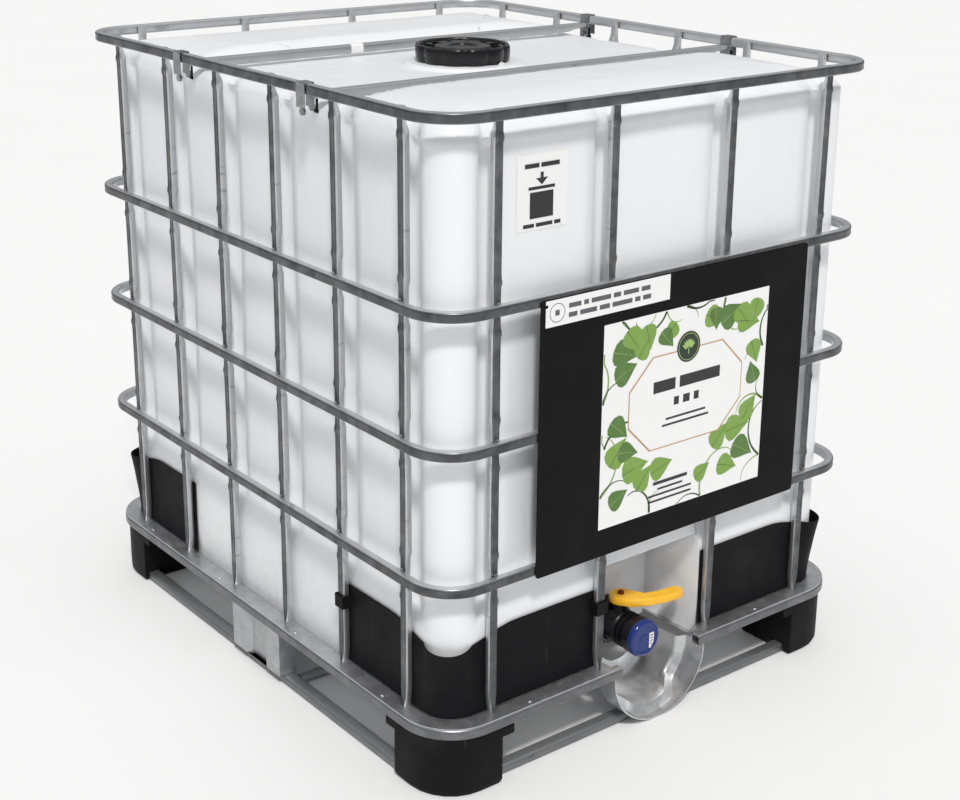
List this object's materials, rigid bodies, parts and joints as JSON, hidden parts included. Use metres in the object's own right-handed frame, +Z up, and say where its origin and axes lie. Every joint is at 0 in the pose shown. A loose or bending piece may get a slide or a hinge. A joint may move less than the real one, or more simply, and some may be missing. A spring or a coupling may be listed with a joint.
{
  "type": "intermediate bulk container",
  "caption": "Pallet-mounted liquid container: white plastic bottle in a welded tube cage, screw lid on top, lever valve with screw cap in the lower front.",
  "frame": {"origin": "on the floor under the middle of the container", "axes": "+Z up, -Y is the side with the outlet valve, +X to the right when facing the valve"},
  "size_m": [1, 1.2, 1.16],
  "materials": {
    "hdpe": "satin, slightly translucent",
    "galvanised_tube": "galvanised",
    "galvanised_sheet": "galvanised",
    "black_plastic": "matt",
    "black_lid": "gloss",
    "yellow_plastic": "satin",
    "blue_plastic": "gloss",
    "rubber": "matt",
    "white_plastic": "satin"
  },
  "bodies": {
    "container": {"bottle": "hdpe", "top_rim": "galvanised_tube", "upper_ring": "galvanised_tube", "middle_ring": "galvanised_tube", "lower_ring": "galvanised_tube", "pallet_tube": "galvanised_tube", "base_loop": "galvanised_tube", "base_cross_tube": "galvanised_tube", "crossbar_front": "galvanised_tube", "crossbar_rear": "galvanised_tube", "clamp_front_left": "galvanised_tube", "clamp_front_right": "galvanised_tube", "clamp_rear_left": "galvanised_tube", "clamp_rear_right": "galvanised_tube", "upright_front_1": "galvanised_tube", "upright_front_2": "galvanised_tube", "upright_front_3": "galvanised_tube", "upright_front_4": "galvanised_tube", "upright_rear_1": "galvanised_tube", "upright_rear_2": "galvanised_tube", "upright_rear_3": "galvanised_tube", "upright_rear_4": "galvanised_tube", "upright_left_1": "galvanised_tube", "upright_left_2": "galvanised_tube", "upright_left_3": "galvanised_tube", "upright_left_4": "galvanised_tube", "upright_left_5": "galvanised_tube", "upright_left_6": "galvanised_tube", "upright_right_1": "galvanised_tube", "upright_right_2": "galvanised_tube", "upright_right_3": "galvanised_tube", "upright_right_4": "galvanised_tube", "upright_right_5": "galvanised_tube", "upright_right_6": "galvanised_tube", "deck_pan": "galvanised_sheet", "valve_trough": "galvanised_sheet", "side_leg_left": "galvanised_sheet", "side_leg_right": "galvanised_sheet", "rear_leg": "galvanised_sheet", "label_plate": "black_plastic", "valve_body": "black_plastic", "valve_union_nut": "black_plastic", "corner_protector_front_left": "black_plastic", "corner_protector_front_right": "black_plastic", "corner_protector_rear_left": "black_plastic", "corner_protector_rear_right": "black_plastic", "foot_front_left": "black_plastic", "foot_front_right": "black_plastic", "foot_rear_left": "black_plastic", "foot_rear_right": "black_plastic", "valve_gasket": "rubber"},
    "valve_spindle": {"valve_disc": "white_plastic", "valve_stem": "galvanised_tube", "valve_handle": "yellow_plastic", "handle_screw": "galvanised_tube"},
    "lid_seal": {"lid_gasket": "rubber"},
    "lid": {"lid": "black_lid", "tamper_tag": "white_plastic"},
    "cap_seal": {"dust_cap_gasket": "rubber"},
    "dust_cap": {"dust_cap": "blue_plastic"}
  },
  "joints": [
    {"name": "valve_lever", "type": "hinge", "parent": "container", "child": "valve_spindle", "pos_m": [0, -0.487, 0.19], "axis": [0, 0, -1], "range_deg": [0, 90]},
    {"name": "lid_lift", "type": "slide", "parent": "container", "child": "lid_seal", "axis": [0, 0, 1], "range_m": [0, 0.12]},
    {"name": "lid_turn", "type": "hinge", "parent": "lid_seal", "child": "lid", "pos_m": [0, 0, 1.14], "axis": [0, 0, 1], "range_deg": [0, 720]},
    {"name": "cap_pull", "type": "slide", "parent": "container", "child": "cap_seal", "axis": [0, -1, 0], "range_m": [0, 0.12]},
    {"name": "cap_turn", "type": "hinge", "parent": "cap_seal", "child": "dust_cap", "pos_m": [0, -0.55, 0.14], "axis": [0, -1, 0], "range_deg": [0, 720]}
  ]
}
